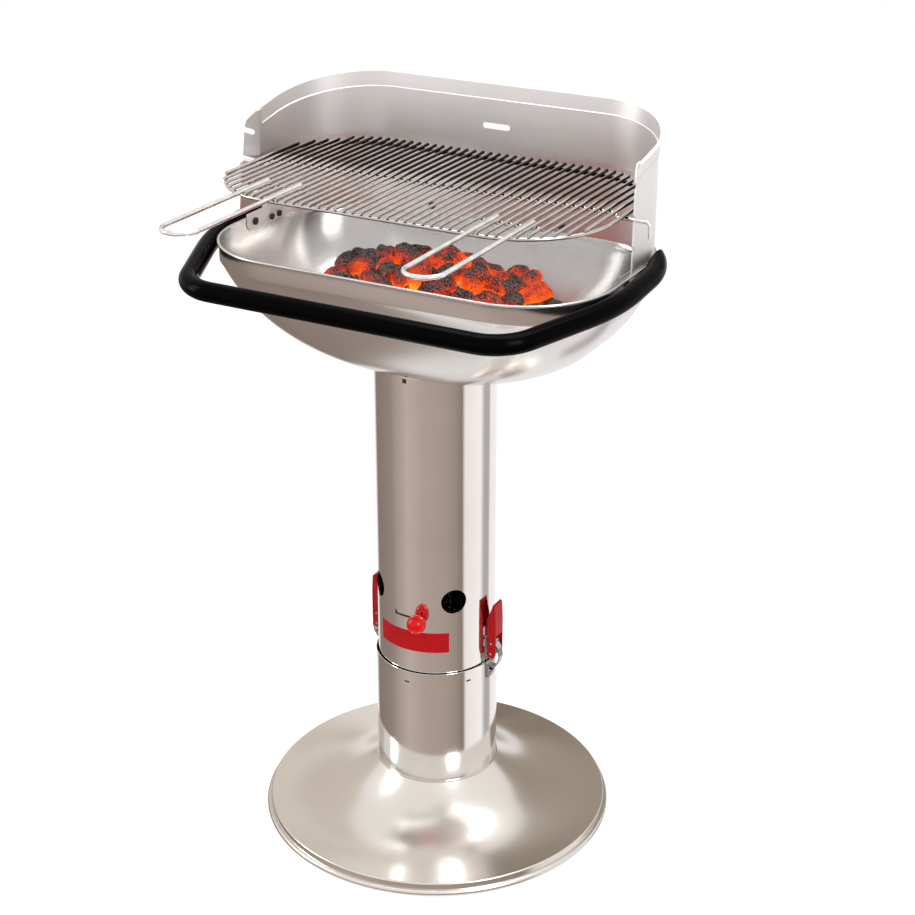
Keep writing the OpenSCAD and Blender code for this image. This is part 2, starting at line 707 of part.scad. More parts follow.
module lump(i, size) {
    stretch = [1.35 + 0.35 * wobble(i, 1), 0.95 + 0.2 * wobble(i, 2), 0.75 + 0.15 * wobble(i, 3)];
    rotate([20 * wobble(i, 4), 20 * wobble(i, 5), 180 * wobble(i, 6)])
        polyhedron([for (v = ico) [for (k = [0:2]) v[k] * size * stretch[k] * (1 + 0.12 * wobble(i + v[0] * 3, k + 9))]],
                   ico_faces);
}

module charcoal() {
    counts = [24, 16, 18, 11, 5];
    spread = [[147, 88], [102, 50], [127, 66], [74, 34], [24, 10]];
    rise = [52, 58, 76, 82, 88];
    color("orangered") translate([28, -28, grate_bar_z + grate_bar_r + fit_gap]) {
        intersection() {
            union() {
                // the packed middle of the bed
                linear_extrude(52) round_rect(142, 84, 70);
                for (ring = [0:4], i = [0:counts[ring] - 1]) {
                    a = 360 * i / counts[ring] + 17 * ring;
                    k = ring * 31 + i;
                    translate([spread[ring][0] * cos(a), spread[ring][1] * sin(a), rise[ring] + 7 * wobble(k, 7)])
                        lump(k, lump_size + 4 * wobble(k, 8));
                }
            }
            translate([-300, -300, 0]) cube([600, 600, 300]);
        }
    }
}

// Cooking grid: welded wire, hung by its middle cross wire in the windshield's notches
seat_z = notch_z - notch_w / 2 + wire_r + fit_gap;
cross_z = seat_z + 2 * wire_r + 0.4;
bar_z = cross_z + wire_r + bar_r;
frame_x = grid_x - wire_r;
frame_y0 = -grid_front + wire_r;
frame_y1 = grid_back - wire_r;
grip_z = cross_z + wire_r + grip_wire_r;
function edge_in(x) = let (c = frame_x - grid_corner, d = abs(x) - c)
    d <= 0 ? 0 : grid_corner - sqrt(grid_corner * grid_corner - d * d);

module grid_bars() {
    n = floor((frame_x - 6) / bar_pitch);
    color("lightgray") for (i = [-n:n]) {
        x = i * bar_pitch;
        y0 = frame_y0 + edge_in(x) - wire_r;
        y1 = frame_y1 - edge_in(x) + (edge_in(x) > 20 ? wire_r : bar_tip);
        rod([x, y0, bar_z], [x, y1, bar_z], bar_r);
    }
}

module grid_frame() {
    color("silver") translate([0, 0, cross_z]) wire_loop(frame_x, frame_y0, frame_y1, grid_corner, wire_r);
}

module grid_cross_wires() {
    out_x = shield_x + 4 + hook_reach;
    strut_y = frame_y0 + 58;
    // the wire steps down under the frame wire with two tight bends
    step_r = (cross_z - seat_z) / 2;
    step_x = frame_x - 16;
    end_r = 6;
    color("silver") {
        translate([0, notch_y, 0]) rotate([90, 0, 0]) {
            rod([-step_x, cross_z, 0], [step_x, cross_z, 0], wire_r);
            for (side = [0, 1]) mirror([side, 0, 0]) {
                bend([step_x, cross_z - step_r, 0], step_r, wire_r, 0);
                bend([step_x + 2 * step_r, cross_z - step_r, 0], step_r, wire_r, 180);
                rod([step_x + 2 * step_r, seat_z, 0], [out_x, seat_z, 0], wire_r);
                bend([out_x, seat_z - end_r, 0], end_r, wire_r, 0);
                rod([out_x + end_r, seat_z - end_r, 0], [out_x + end_r, seat_z - hook_drop, 0], wire_r);
            }
        }
        // short wires that tie the grid handles to the bars
        for (side = [-1, 1])
            rod([side * (grip_start - 1) * bar_pitch, strut_y, cross_z],
                [side * (grip_start + grip_bars + 2) * bar_pitch, strut_y, cross_z], wire_r);
    }
}

module grid_handle() {
    x0 = (grip_start + 0.5) * bar_pitch;
    x1 = x0 + grip_bars * bar_pitch;
    bend_r = (x1 - x0) / 2;
    y1 = frame_y0 + 64;
    y0 = -grid_front - grip_reach + bend_r;
    color("silver") translate([0, 0, grip_z]) {
        rod([x0, y0, 0], [x0, y1, 0], grip_wire_r);
        rod([x1, y0, 0], [x1, y1, 0], grip_wire_r);
        bend([x0 + bend_r, y0, 0], bend_r, grip_wire_r, 180, 180);
    }
}

// Toggle clamps, drawn for the right side and mirrored for the left
pivot_x = tube_r + pivot_out;
pivot_z = seam_z + lever_up;
hook_pin = [pivot_x + 0.5, pivot_z + hook_arm];
rivet_up = [8, 36];
rivet_r = 2;
ear_y = lever_w / 2 - lever_wall - 0.4;
ear_t = 1.5;
bracket_t = 1.2;
cheek_end_r = 7;

module clamp_side(left) {
    if (left) mirror([1, 0, 0]) children();
    else children();
}

module cross_pin(x, z, r, half) {
    translate([x, 0, z]) rotate([90, 0, 0]) cylinder(h = 2 * half, r = r, center = true, $fn = 32);
}

module clamp_bracket() {
    plate_r = tube_r + 0.1;
    color("silver") difference() {
        union() {
            intersection() {
                ring_piece(plate_r, plate_r + bracket_t, seam_z + 2.5, seam_z + 42, -12, 24);
                translate([0, -ear_y, 0]) cube([200, 2 * ear_y, 2000]);
            }
            for (side = [-1, 1]) translate([0, side * (ear_y - ear_t / 2), 0]) rotate([90, 0, 0])
                translate([0, 0, -ear_t / 2]) linear_extrude(ear_t) {
                    translate([pivot_x, pivot_z]) circle(r = pin_r + 2.4, $fn = 32);
                    translate([tube_r + 0.3, pivot_z - 9]) square([pivot_x - tube_r - 0.3, 9 + pin_r + 2.4]);
                }
        }
        cross_pin(pivot_x, pivot_z, pin_r, 30);
        for (dz = rivet_up) radial(tube_r - 2, tube_r + 6, seam_z + dz, 0, rivet_r + 0.1);
        cylinder(h = 1000, r = plate_r, $fn = 180);
    }
}

module clamp_pin() {
    color("lightgray") {
        cross_pin(pivot_x, pivot_z, pin_r, lever_w / 2 + 1.2);
        for (dz = rivet_up) {
            radial(tube_inner_r, tube_r + bracket_t + 0.6, seam_z + dz, 0, rivet_r);
            radial(tube_r + bracket_t + 0.1, tube_r + bracket_t + 1, seam_z + dz, 0, rivet_r + 1.2);
            radial(tube_inner_r - 1.4, tube_inner_r - 0.5, seam_z + dz, 0, rivet_r + 1);
        }
    }
}

// Lever: a red channel, its cheeks deeper at the hinge, with a mouth for the hook strap
face_x = pivot_x + 6;
lever_top = pivot_z + lever_len;
module clamp_lever() {
    mouth_top = hook_pin[1] + 12;
    color("firebrick") difference() {
        union() {
            for (side = [0, lever_w - lever_wall]) translate([0, lever_w / 2 - side, 0]) rotate([90, 0, 0])
                linear_extrude(lever_wall) {
                    translate([pivot_x, pivot_z]) circle(r = cheek_end_r, $fn = 48);
                    polygon([
                        [pivot_x - cheek_end_r + 1, pivot_z], [pivot_x - cheek_end_r + 1, lever_top - 24],
                        [face_x - 6, lever_top - 9], [face_x - 3, lever_top], [face_x, lever_top - 2],
                        [face_x + 1.2, lever_top - 26], [face_x + 1.2, pivot_z + 12], [pivot_x + cheek_end_r, pivot_z]
                    ]);
                }
            // outer face between the cheeks, from the mouth up to the finger end
            translate([0, lever_w / 2 - 0.2, 0]) rotate([90, 0, 0]) linear_extrude(lever_w - 0.4)
                polygon([
                    [face_x + 1.2 - lever_wall, mouth_top], [face_x + 1.2, mouth_top], [face_x + 1.2, lever_top - 26],
                    [face_x, lever_top - 2], [face_x - 3, lever_top], [face_x - 4.4, lever_top - 4],
                    [face_x - lever_wall, lever_top - 4], [face_x + 1.2 - lever_wall, lever_top - 26]
                ]);
        }
        cross_pin(pivot_x, pivot_z, pin_r + 0.05, 30);
        cross_pin(hook_pin[0], hook_pin[1], pin_r - 0.2, 30);
    }
}

module hook_pin_piece() {
    color("lightgray") cross_pin(hook_pin[0], hook_pin[1], pin_r - 0.2, lever_w / 2 + 0.6);
}

// Hook: a strap rolled round its pin, bowed out and turned in to the catch window
hook_tip_z = window_z + window_h - fit_gap - hook_t;
tip_x = bucket_r + 0.2;
module clamp_hook() {
    eye = pin_r + 1.6;
    bow_x = pivot_x + 10;
    path = [
        [hook_pin[0] + 2.4, hook_pin[1] - 2.2], [bow_x - 2.2, pivot_z + 6], [bow_x, pivot_z - 6],
        [bow_x - 2.5, hook_tip_z + 9], [bow_x - 8, hook_tip_z + hook_t / 2], [tip_x, hook_tip_z + hook_t / 2]
    ];
    color("lightgray") difference() {
        translate([0, hook_w / 2, 0]) rotate([90, 0, 0]) linear_extrude(hook_w) {
            translate(hook_pin) circle(r = eye, $fn = 32);
            for (k = [0:4]) {
                d = path[k + 1] - path[k];
                translate(path[k]) rotate(atan2(d[1], d[0])) translate([0, -hook_t / 2]) square([norm(d), hook_t]);
                translate(path[k]) circle(r = hook_t / 2 + 0.1, $fn = 24);
            }
        }
        cross_pin(hook_pin[0], hook_pin[1], pin_r - 0.1, 30);
    }
}

module catch_plate() {
    color("silver") difference() {
        intersection() {
            ring_piece(bucket_r + 0.1, bucket_r + 2.4, catch_z, catch_z + catch_h, -12, 24);
            translate([0, -window_w / 2 - 4, 0]) cube([200, window_w + 8, 1000]);
        }
        translate([bucket_r - 5, -window_w / 2, window_z]) cube([20, window_w, window_h]);
    }
}

base_foot();
foot_bolts();
ash_bucket();
chimney_tube();
label_plate();
air_sleeve();
regulator_stem();
regulator_knob();
fire_bowl();
bowl_collar();
windshield();
windshield_bolts();
side_handle();
handle_brackets();
handle_screws();
fuel_grate();
fuel_grate_bars();
charcoal();
grid_bars();
grid_frame();
grid_cross_wires();
mirror([1, 0, 0]) grid_handle();  // grid_handle_left
grid_handle();  // grid_handle_right
clamp_side(false) clamp_bracket();  // clamp_bracket_right
clamp_side(false) clamp_pin();  // clamp_pin_right
clamp_side(false) clamp_lever();  // clamp_lever_right
clamp_side(false) hook_pin_piece();  // hook_pin_right
clamp_side(false) clamp_hook();  // clamp_hook_right
clamp_side(false) catch_plate();  // catch_plate_right
clamp_side(true) clamp_bracket();  // clamp_bracket_left
clamp_side(true) clamp_pin();  // clamp_pin_left
clamp_side(true) clamp_lever();  // clamp_lever_left
clamp_side(true) hook_pin_piece();  // hook_pin_left
clamp_side(true) clamp_hook();  // clamp_hook_left
clamp_side(true) catch_plate();  // catch_plate_left
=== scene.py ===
# %% [markdown]
# # A pedestal charcoal grill
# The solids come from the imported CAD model, and this script dresses them.
# Everything is in metres, in the CAD model's frame: the floor is z = 0, the
# column stands on the Z axis and the front faces -Y.

# %% Load the frame
import math
import random
import bmesh
import bpy
from mathutils import Matrix, Vector, noise


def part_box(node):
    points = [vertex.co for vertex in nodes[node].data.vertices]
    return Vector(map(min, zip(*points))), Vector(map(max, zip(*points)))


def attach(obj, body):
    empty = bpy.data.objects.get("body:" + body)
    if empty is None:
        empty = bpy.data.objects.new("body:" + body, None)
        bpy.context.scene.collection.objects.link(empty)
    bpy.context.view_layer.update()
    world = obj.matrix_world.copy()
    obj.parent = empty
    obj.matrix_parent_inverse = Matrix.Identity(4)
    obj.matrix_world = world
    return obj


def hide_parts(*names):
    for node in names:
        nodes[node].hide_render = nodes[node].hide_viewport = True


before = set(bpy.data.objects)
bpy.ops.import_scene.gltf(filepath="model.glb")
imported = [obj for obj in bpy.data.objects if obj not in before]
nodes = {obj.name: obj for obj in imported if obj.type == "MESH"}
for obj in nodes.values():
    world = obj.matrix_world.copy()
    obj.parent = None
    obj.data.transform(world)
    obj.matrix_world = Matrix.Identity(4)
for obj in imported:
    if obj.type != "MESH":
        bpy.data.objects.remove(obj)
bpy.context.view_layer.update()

scene = bpy.context.scene

# %% [markdown]
# ## The camera
# The picture was taken from a little above and to the right of the front,
# with a longish lens. The place could be found by eye, by turning the view
# until the outlines agree. Here it was worked out from the grill's circles
# and straight edges, which leaves less to chance. A lens of 74 mm on a 36 mm
# sensor at 2.6 m gives the same gentle perspective, without any shift.

# %% Camera
CAMERA_AT = Vector((1.1557, -2.0590, 1.6090))
CAMERA_LOOKS_AT = Vector((0.03366, 0.0, 0.5534))
LENS_MM, SENSOR_MM = 74.44, 36.0
camera_data = bpy.data.cameras.new("studio_camera")
camera_data.lens = LENS_MM
camera_data.sensor_width = SENSOR_MM
camera = bpy.data.objects.new("studio_camera", camera_data)
scene.collection.objects.link(camera)
camera.location = CAMERA_AT
camera.rotation_euler = (CAMERA_LOOKS_AT - CAMERA_AT).to_track_quat("-Z", "Y").to_euler()
scene.camera = camera
scene.view_settings.view_transform = "Standard"
print("camera distance in m:", round((CAMERA_LOOKS_AT - CAMERA_AT).length, 3))

# %% [markdown]
# ## Colours, nodes and objects
# A colour is written as the hex code that a picture editor shows. Shaders
# count light in a linear scale, so one function turns the code into linear
# numbers. One more adds a node, gives it its settings and links it: an input
# that is given a node takes that node's first output. The others darken a
# colour, start a material, fade a number, blend two colours and turn a bmesh
# into an object. Each could be written out where it is used, but the same
# lines would then stand in every material.

# %% Helpers


def linear(code):
    """The linear colour of an sRGB hex code such as "#c0c0c0"."""
    parts = [int(code[i : i + 2], 16) / 255 for i in (1, 3, 5)]
    return [p / 12.92 if p <= 0.04045 else ((p + 0.055) / 1.055) ** 2.4 for p in parts] + [1.0]


def darker(code, share):
    """The colour of a hex code, less a share of its light."""
    return [c * (1 - share) for c in linear(code)[:3]] + [1.0]


def add_node(tree, kind, inputs=(), **settings):
    """Adds a node; its inputs come by name or number, or in their own order."""
    node = tree.nodes.new(kind)
    for name, value in settings.items():
        setattr(node, name, value)
    for name, value in inputs.items() if isinstance(inputs, dict) else enumerate(inputs):
        if isinstance(value, bpy.types.Node):
            value = value.outputs[0]
        if isinstance(value, bpy.types.NodeSocket):
            tree.links.new(value, node.inputs[name])
        else:
            node.inputs[name].default_value = value
    return node


def new_material(name):
    """A material with an empty node tree."""
    material = bpy.data.materials.new(name)
    material.use_nodes = True
    material.node_tree.nodes.clear()
    return material, material.node_tree


def fade(tree, value, start, end, low=0.0, high=1.0):
    """A number that goes from low to high while value goes from start to end."""
    return add_node(tree, "ShaderNodeMapRange", (value, start, end, low, high))


# the mix node has sockets of the same name for each kind of value
MIX_FACTOR, MIX_FIRST, MIX_SECOND, MIX_RESULT = 0, 6, 7, 2


def blend(tree, factor, first, second):
    """Two colours mixed by a factor."""
    inputs = {MIX_FACTOR: factor, MIX_FIRST: first, MIX_SECOND: second}
    return add_node(tree, "ShaderNodeMix", inputs, data_type="RGBA").outputs[MIX_RESULT]


def to_object(name, shape, material):
    """Puts a bmesh in the scene as an object with one material."""
    mesh = bpy.data.meshes.new(name)
    shape.to_mesh(mesh)
    shape.free()
    mesh.materials.append(material)
    thing = bpy.data.objects.new(name, mesh)
    scene.collection.objects.link(thing)
    return thing


WHITE = linear("#ffffff")
print("white in linear light:", WHITE[:3])

# %% [markdown]
# ## The studio
# Polished sheet shows its surroundings, so the studio is what gives the
# steel its look. A photographed room could be wrapped round the object, but
# a few plain lamps and papers can be set one by one. The world is white to
# the camera and to reflections, and only a soft fill to everything else.

# %% World
FILL = 0.55
world = bpy.data.worlds.new("studio_world")
scene.world = world
world.use_nodes = True
tree = world.node_tree
tree.nodes.clear()
rays = add_node(tree, "ShaderNodeLightPath").outputs
seen = rays["Is Camera Ray"]
for kind in ("Is Transmission Ray", "Is Glossy Ray"):
    seen = add_node(tree, "ShaderNodeMath", (seen, rays[kind]), operation="MAXIMUM")
soft_fill = add_node(tree, "ShaderNodeBackground", {"Color": WHITE, "Strength": FILL})
white_wall = add_node(tree, "ShaderNodeBackground", {"Color": WHITE, "Strength": 1.0})
both = add_node(tree, "ShaderNodeMixShader", (seen, soft_fill, white_wall))
add_node(tree, "ShaderNodeOutputWorld", {"Surface": both})
print("world: white to the camera, a fill of", FILL)

# %% [markdown]
# The floor is painted matt white. Lit by the lamps alone it would come out
# grey, so the camera also sees some light of its own in it: the floor turns
# as white as the wall, and the grill's soft shadow stays. Reflections don't
# see it, because the papers further down give the steel its surroundings.

# %% Floor
FLOOR_HALF, FLOOR_DROP = 6.0, 0.0005
FLOOR_GLOW, GLOW_SHARE = 1.24, 0.66
floor_paint, tree = new_material("floor_matte_white_paint")
paint = add_node(
    tree, "ShaderNodeBsdfPrincipled",
    {"Base Color": linear("#f4f4f4"), "Roughness": 0.9, "Specular IOR Level": 0.1},
)
glow = add_node(tree, "ShaderNodeEmission", {"Color": WHITE, "Strength": FLOOR_GLOW})
rays = add_node(tree, "ShaderNodeLightPath").outputs
seen = (rays["Is Camera Ray"], rays["Is Glossy Ray"])
seen = add_node(tree, "ShaderNodeMath", seen, operation="MAXIMUM")
share = add_node(tree, "ShaderNodeMath", (seen, GLOW_SHARE), operation="MULTIPLY")
both = add_node(tree, "ShaderNodeMixShader", (share, paint, glow))
add_node(tree, "ShaderNodeOutputMaterial", {"Surface": both})
shape = bmesh.new()
bmesh.ops.create_grid(shape, x_segments=1, y_segments=1, size=FLOOR_HALF)
bmesh.ops.translate(shape, verts=shape.verts, vec=(0.0, 0.0, -FLOOR_DROP))
floor = to_object("floor", shape, floor_paint)
floor.visible_glossy = False
print("floor: a square of", 2 * FLOOR_HALF, "m")

# %% [markdown]
# Large lamps give soft edges to highlights and shadows. One key lamp stands
# to the right of the camera, a weaker one to the left, and a wide one hangs
# overhead, where it lights the bowl and the grid.

# %% Lamps
MIDDLE = Vector((0.0, 0.0, 0.6))
LAMPS = (
    # name, place, width and height in metres, watts
    ("key_box", (2.6, -1.6, 2.4), (1.2, 2.0), 46),
    ("left_box", (-2.6, -1.4, 1.6), (0.8, 2.2), 26),
    ("top_box", (0.0, 0.4, 3.2), (2.4, 1.6), 40),
)
for name, place, size, watts in LAMPS:
    data = bpy.data.lights.new(name, "AREA")
    data.shape = "RECTANGLE"
    data.size, data.size_y = size
    data.energy = watts
    lamp = bpy.data.objects.new(name, data)
    scene.collection.objects.link(lamp)
    lamp.location = place
    lamp.rotation_euler = (MIDDLE - Vector(place)).to_track_quat("-Z", "Y").to_euler()
print("lamps:", [lamp[0] for lamp in LAMPS])

# %% [markdown]
# ## What the column mirrors
# On a bright tube the eye reads upright streaks, light beside dark. Painting
# them on the steel would be wrong from any other side. A photographer sets
# papers round the tube and lets it mirror them, and so does this script. The
# camera looks down, so the column mirrors what lies low: a ring of paper
# stands close to it, whose tone changes with the bearing from +X. Only
# reflections that run downwards see the ring, and it goes on below the floor
# so that the streaks reach the column's foot.

# %% Reflection ring


def paint_ramp(ramp, stops):
    """Fills a colour ramp from (position, hex code) pairs in rising order."""
    for end, (position, code) in zip(ramp.elements, (stops[0], stops[-1])):
        end.position, end.color = position, linear(code)
    for position, code in stops[1:-1]:
        ramp.elements.new(position).color = linear(code)


def stage_card(name, shape, material, along, stops, strength, heads):
    """A glowing card with tones along it, seen only by reflections that head down, or up."""
    tree = material.node_tree
    tones = add_node(tree, "ShaderNodeValToRGB", (along,))
    paint_ramp(tones.color_ramp, stops)
    glow = add_node(tree, "ShaderNodeEmission", (tones, strength))
    came_from = add_node(tree, "ShaderNodeNewGeometry").outputs["Incoming"]
    height = add_node(tree, "ShaderNodeSeparateXYZ", (came_from,)).outputs["Z"]
    passes = "GREATER_THAN" if heads == "down" else "LESS_THAN"
    test = add_node(tree, "ShaderNodeMath", (height, 0.0), operation=passes)
    clear = add_node(tree, "ShaderNodeBsdfTransparent")
    both = add_node(tree, "ShaderNodeMixShader", (test, clear, glow))
    add_node(tree, "ShaderNodeOutputMaterial", {"Surface": both})
    card = to_object(name, shape, material)
    card.visible_camera = False
    card.visible_diffuse = False
    card.visible_shadow = False
    print(name + ": tones", len(stops))


RING_TONES = (
    (-180, "#8b7d75"), (-168, "#8d8078"), (-150, "#94877f"), (-134, "#a99b92"), (-112, "#bdafa8"),
    (-84, "#b1a29a"), (-46, "#a99a91"), (-26, "#9c8f85"), (-13, "#857a72"), (-8, "#f0eae7"),
    (27, "#fbf9f9"), (37, "#b3afae"), (50, "#b1adad"), (58, "#f5f1f4"), (120, "#f6f4f6"),
    (150, "#f0ecea"), (160, "#877970"), (179, "#8a7c74"),
)
RING_R, RING_LOW, RING_HIGH, RING_STEPS, RING_GLOW = 0.62, -0.4, 0.76, 90, 1.1
shape = bmesh.new()
upright = shape.edges.new([shape.verts.new((RING_R, 0.0, z)) for z in (RING_LOW, RING_HIGH)])
bmesh.ops.spin(
    shape, geom=[upright, *upright.verts], cent=(0, 0, 0), axis=(0, 0, 1),
    angle=math.tau, steps=RING_STEPS, use_merge=True,
)
ring_paper, tree = new_material("reflection_ring_paper")
place = add_node(tree, "ShaderNodeTexCoord").outputs["Object"]
bearing = add_node(tree, "ShaderNodeTexGradient", {"Vector": place}, gradient_type="RADIAL").outputs["Fac"]
stops = [(degrees / 360 + 0.5, code) for degrees, code in RING_TONES]
stage_card("reflection_ring", shape, ring_paper, bearing, stops, RING_GLOW, heads="down")

# %% [markdown]
# ## What the foot mirrors
# The foot is almost flat, so it mirrors one low strip of the room behind the
# grill. One wide paper stands there. Its tone changes from left to right as
# the camera sees it, and only reflections that run upwards see it.

# %% Card for the foot
CARD_TONES = (
    # metres to the right of the middle, tone
    (-0.42, "#dcd5cc"), (-0.34, "#efeae4"), (-0.27, "#cfc8be"), (-0.2, "#f8f5f1"), (-0.11, "#fdfcfa"),
    (-0.04, "#ddd6cd"), (0.02, "#bdb3a8"), (0.08, "#9d9286"), (0.13, "#756a5e"), (0.17, "#a2978b"),
    (0.23, "#8a7f73"), (0.3, "#afa599"), (0.9, "#a89e92"),
)
CARD_WIDE, CARD_LOW, CARD_HIGH, CARD_BACK, CARD_GLOW = 2.6, 0.06, 1.4, 0.85, 1.0
view_way = (CAMERA_LOOKS_AT - CAMERA_AT).xy.normalized()
right_way = Vector((view_way.y, -view_way.x))
shape = bmesh.new()
corners = []
for side, z in ((-1, CARD_LOW), (1, CARD_LOW), (1, CARD_HIGH), (-1, CARD_HIGH)):
    at = view_way * CARD_BACK + right_way * side * CARD_WIDE / 2
    corners.append(shape.verts.new((at.x, at.y, z)))
shape.faces.new(corners)
card_paper, tree = new_material("foot_card_paper")
place = add_node(tree, "ShaderNodeTexCoord").outputs["Object"]
across = add_node(
    tree, "ShaderNodeVectorMath", (place, (right_way.x, right_way.y, 0.0)), operation="DOT_PRODUCT"
).outputs["Value"]
along = fade(tree, across, -1.0, 1.0)
stops = [((metres + 1) / 2, code) for metres, code in CARD_TONES]
stage_card("foot_card", shape, card_paper, along, stops, CARD_GLOW, heads="up")

# %% [markdown]
# ## Stainless sheet
# The column, the bowl, the windshield and the foot are stainless steel
# sheet, rolled to a bright finish. The eye sees soft mirror images, drawn
# out along the sheet's grain, and a few faint smudges on a warm grey. An
# anisotropic shader could draw the images out too, but it gives no lines.
# Noise stretched along the grain does both here: it changes the roughness a
# little and gives the fine lines. A wide, weak noise gives the smudges.

# %% Rolled stainless
# a noise seldom leaves 0.3 to 0.7, so fades between them use its whole swing
SWING = (0.3, 0.7)
SMUDGES_PER_M = 9.0


def stainless(name, code, grain, roughness, depth, grain_mm=0.6, vary=0.18):
    """Bright sheet; grain is the count of lines per grain_mm along x, y and z."""
    material, tree = new_material(name)
    place = add_node(tree, "ShaderNodeTexCoord").outputs["Object"]
    per_metre = [share * 1000 / grain_mm for share in grain]
    stretched = add_node(tree, "ShaderNodeMapping", {"Vector": place, "Scale": per_metre})
    lines = add_node(tree, "ShaderNodeTexNoise", {"Vector": stretched, "Scale": 1.0, "Detail": 3.0})
    smudges = add_node(tree, "ShaderNodeTexNoise", {"Vector": place, "Scale": SMUDGES_PER_M, "Detail": 4.0})
    clean = fade(tree, smudges, *SWING)
    colour = blend(tree, clean, darker(code, vary / 3), linear(code))
    brushed = fade(tree, lines, 0.25, 0.75, roughness * (1 - vary), roughness * (1 + vary))
    greasy = fade(tree, smudges, 0.35, 0.75, 0.0, vary / 4)
    rough = add_node(tree, "ShaderNodeMath", (brushed, greasy), operation="ADD")
    bump = add_node(tree, "ShaderNodeBump", {"Height": lines, "Strength": depth, "Distance": 0.0002})
    steel = add_node(
        tree, "ShaderNodeBsdfPrincipled",
        {"Base Color": colour, "Metallic": 1.0, "Roughness": rough, "Normal": bump},
    )
    add_node(tree, "ShaderNodeOutputMaterial", {"Surface": steel})
    return material


UPRIGHT, ROUND, LEVEL = (0.02, 0.02, 1.0), (0.5, 0.5, 0.5), (0.05, 0.6, 0.6)
column_steel = stainless("stainless_rolled_column", "#f0edeb", UPRIGHT, 0.07, 0.006)
foot_steel = stainless("stainless_spun_foot", "#e2dcd5", ROUND, 0.2, 0.002, grain_mm=1.0, vary=0.12)
bowl_steel = stainless("stainless_pressed_bowl", "#e2dedb", LEVEL, 0.22, 0.001, grain_mm=0.4, vary=0.06)
shield_steel = stainless("stainless_brushed_windshield", "#e9e5e3", UPRIGHT, 0.42, 0.05, vary=0.1)
print("stainless:", [m.name for m in (column_steel, foot_steel, bowl_steel, shield_steel)])

# %% [markdown]
# ## Paint, enamel and plastic
# Small parts carry the strong colours. The clamp levers are powder coated
# red, with a slight orange peel. The ball is a red thermoset plastic, moulded
# and polished. The label is screen printed, and the handle tube wears black
# gloss enamel. Each could have a shader of its own, but all of them are
# smooth films with faint waves and slightly worn spots. So one recipe serves
# them all, and is told the colour, the roughness, the waves and the gloss.

# %% Coats
WEAR_PER_M = 40.0


def coat(name, code, roughness, peel_mm, depth, gloss):
    """A smooth coating; peel_mm is the size of its faint waves."""
    material, tree = new_material(name)
    place = add_node(tree, "ShaderNodeTexCoord").outputs["Object"]
    waves = add_node(tree, "ShaderNodeTexNoise", {"Vector": place, "Scale": 1000 / peel_mm, "Detail": 2.0})
    wear = add_node(tree, "ShaderNodeTexNoise", {"Vector": place, "Scale": WEAR_PER_M, "Detail": 5.0})
    colour = blend(tree, fade(tree, wear, 0.35, 0.65), darker(code, 0.15), linear(code))
    rough = fade(tree, wear, *SWING, roughness, roughness * 1.35)
    bump = add_node(tree, "ShaderNodeBump", {"Height": waves, "Strength": depth, "Distance": 0.0003})
    film = add_node(
        tree, "ShaderNodeBsdfPrincipled",
        {"Base Color": colour, "Roughness": rough, "Normal": bump, "Specular IOR Level": gloss},
    )
    add_node(tree, "ShaderNodeOutputMaterial", {"Surface": film})
    return material


lever_paint = coat("powder_coat_red", "#b6070f", 0.3, 1.4, 0.15, gloss=0.2)
ball_plastic = coat("phenolic_red_polished", "#e2040c", 0.05, 6.0, 0.004, gloss=0.3)
label_enamel = coat("screen_printed_red", "#bd0a12", 0.4, 2.0, 0.04, gloss=0.12)
handle_enamel = coat("gloss_black_enamel", "#020101", 0.15, 3.0, 0.01, gloss=0.03)
print("coats:", [m.name for m in (lever_paint, ball_plastic, label_enamel, handle_enamel)])

# %% [markdown]
# ## Plated and dark steel
# The grid, its handles and the clamps' hooks are plated wire and strap. The
# bolts are zinc plated, and what sits near the fire has turned dark. The grid's
# wires carry painted shade: their sides and undersides are darkened, over more
# of each wire towards the back, while their tops stay light, and the bars' back
# tips are made dark too. The direction that a face looks in tells side from top.
# A painted mask could do the same, but it would be an image.

# %% Plating
MOTTLE_PER_M = 60.0
# the colour and extra roughness of the painted shade on the grid's wires
PAINTED_SHADE_COLOUR, SHADE_ROUGHER, SHADE_EDGE = "#1c1512", 0.25, 0.06
FRONT_SHADE_LIMIT, BACK_SHADE_LIMIT = -0.45, 0.97
BAR_TIPS = (0.143, 0.149)


